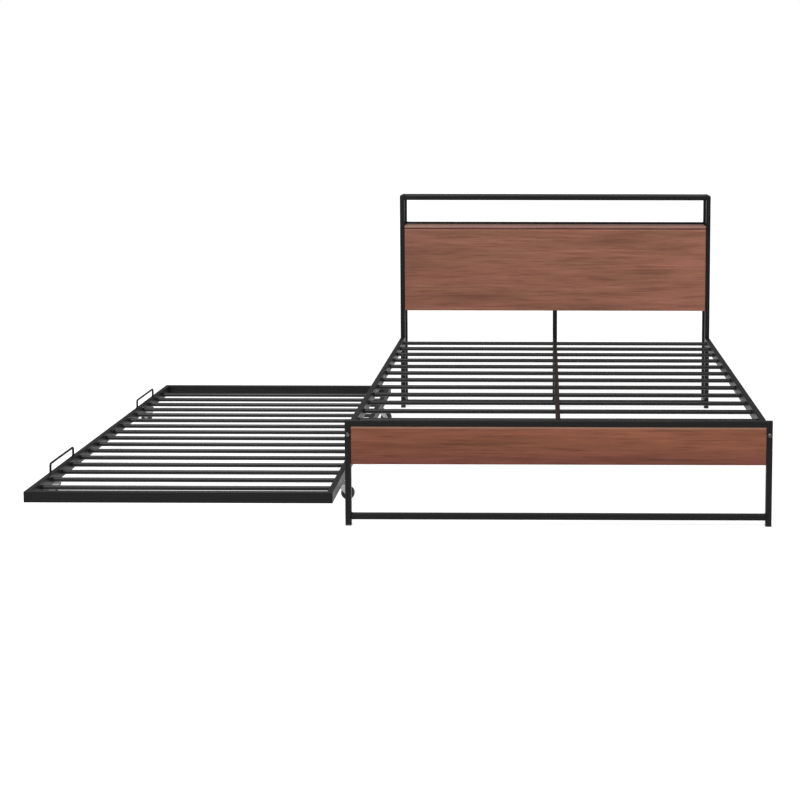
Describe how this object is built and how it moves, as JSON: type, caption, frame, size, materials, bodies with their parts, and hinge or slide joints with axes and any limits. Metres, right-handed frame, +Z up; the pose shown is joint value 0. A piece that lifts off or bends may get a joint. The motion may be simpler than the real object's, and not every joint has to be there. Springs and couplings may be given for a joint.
{
  "type": "trundle bed",
  "caption": "Low metal platform bed with a panelled foot, a panelled headboard with a shelf, and a roll-out slatted trundle on casters.",
  "frame": {"origin": "centre of the whole object's footprint, at floor level, with the trundle pulled out as at rest", "axes": "+X towards the bed's right side as seen from its foot, so the trundle is pulled out along -X; +Y from the foot to the headboard; +Z up"},
  "size_m": [2.519, 2.134, 0.975],
  "materials": {
    "black_steel": "matte black powder coat on welded steel tube",
    "walnut_board": "reddish walnut grained laminate on particle board, satin",
    "zinc_steel": "bright zinc plated pressed steel",
    "black_plastic": "moulded black nylon, slightly worn"
  },
  "bodies": {
    "bed": {"foot_post_left": "black_steel", "foot_post_right": "black_steel", "foot_top_rail": "black_steel", "foot_lower_rail": "black_steel", "foot_panel": "walnut_board", "side_rail_left": "black_steel", "side_rail_right": "black_steel", "centre_beam": "black_steel", "bed_slat_01": "black_steel", "bed_slat_02": "black_steel", "bed_slat_03": "black_steel", "bed_slat_04": "black_steel", "bed_slat_05": "black_steel", "bed_slat_06": "black_steel", "bed_slat_07": "black_steel", "bed_slat_08": "black_steel", "bed_slat_09": "black_steel", "bed_slat_10": "black_steel", "bed_slat_11": "black_steel", "bed_slat_12": "black_steel", "bed_slat_13": "black_steel", "head_side_left": "black_steel", "head_side_right": "black_steel", "head_top": "black_steel", "head_panel": "walnut_board", "head_shelf": "walnut_board", "head_shelf_rail": "black_steel", "head_lower_rail": "black_steel", "head_centre_bar": "black_steel"},
    "trundle": {"trundle_rail_left": "black_steel", "trundle_rail_right": "black_steel", "trundle_rail_front": "black_steel", "trundle_rail_rear": "black_steel", "trundle_slat_01": "black_steel", "trundle_slat_02": "black_steel", "trundle_slat_03": "black_steel", "trundle_slat_04": "black_steel", "trundle_slat_05": "black_steel", "trundle_slat_06": "black_steel", "trundle_slat_07": "black_steel", "trundle_slat_08": "black_steel", "trundle_slat_09": "black_steel", "trundle_slat_10": "black_steel", "trundle_slat_11": "black_steel", "trundle_slat_12": "black_steel", "trundle_slat_13": "black_steel", "trundle_slat_14": "black_steel", "trundle_slat_15": "black_steel", "trundle_slat_16": "black_steel", "trundle_handle_front": "black_steel", "trundle_handle_rear": "black_steel"},
    "caster_front_left": {"caster_fork_front_left": "zinc_steel"},
    "wheel_front_left": {"caster_wheel_front_left": "black_plastic"},
    "caster_front_right": {"caster_fork_front_right": "zinc_steel"},
    "wheel_front_right": {"caster_wheel_front_right": "black_plastic"},
    "caster_rear_left": {"caster_fork_rear_left": "zinc_steel"},
    "wheel_rear_left": {"caster_wheel_rear_left": "black_plastic"},
    "caster_rear_right": {"caster_fork_rear_right": "zinc_steel"},
    "wheel_rear_right": {"caster_wheel_rear_right": "black_plastic"}
  },
  "joints": [
    {"name": "trundle_slide", "type": "slide", "parent": "bed", "child": "trundle", "axis": [1, 0, 0], "range_m": [0, 1.075]},
    {"name": "swivel_front_left", "type": "hinge", "parent": "trundle", "child": "caster_front_left", "pos_m": [-1.2155, -0.7225, 0.062], "axis": [0, 0, 1], "continuous": true},
    {"name": "spin_front_left", "type": "hinge", "parent": "caster_front_left", "child": "wheel_front_left", "pos_m": [-1.2355, -0.7225, 0.024], "axis": [0, 1, 0], "continuous": true},
    {"name": "swivel_front_right", "type": "hinge", "parent": "trundle", "child": "caster_front_right", "pos_m": [-0.2055, -0.7225, 0.062], "axis": [0, 0, 1], "continuous": true},
    {"name": "spin_front_right", "type": "hinge", "parent": "caster_front_right", "child": "wheel_front_right", "pos_m": [-0.1855, -0.7225, 0.024], "axis": [0, 1, 0], "continuous": true},
    {"name": "swivel_rear_left", "type": "hinge", "parent": "trundle", "child": "caster_rear_left", "pos_m": [-1.2155, 0.5955, 0.062], "axis": [0, 0, 1], "continuous": true},
    {"name": "spin_rear_left", "type": "hinge", "parent": "caster_rear_left", "child": "wheel_rear_left", "pos_m": [-1.2355, 0.5955, 0.024], "axis": [0, 1, 0], "continuous": true},
    {"name": "swivel_rear_right", "type": "hinge", "parent": "trundle", "child": "caster_rear_right", "pos_m": [-0.2055, 0.5955, 0.062], "axis": [0, 0, 1], "continuous": true},
    {"name": "spin_rear_right", "type": "hinge", "parent": "caster_rear_right", "child": "wheel_rear_right", "pos_m": [-0.1855, 0.5955, 0.024], "axis": [0, 1, 0], "continuous": true}
  ]
}
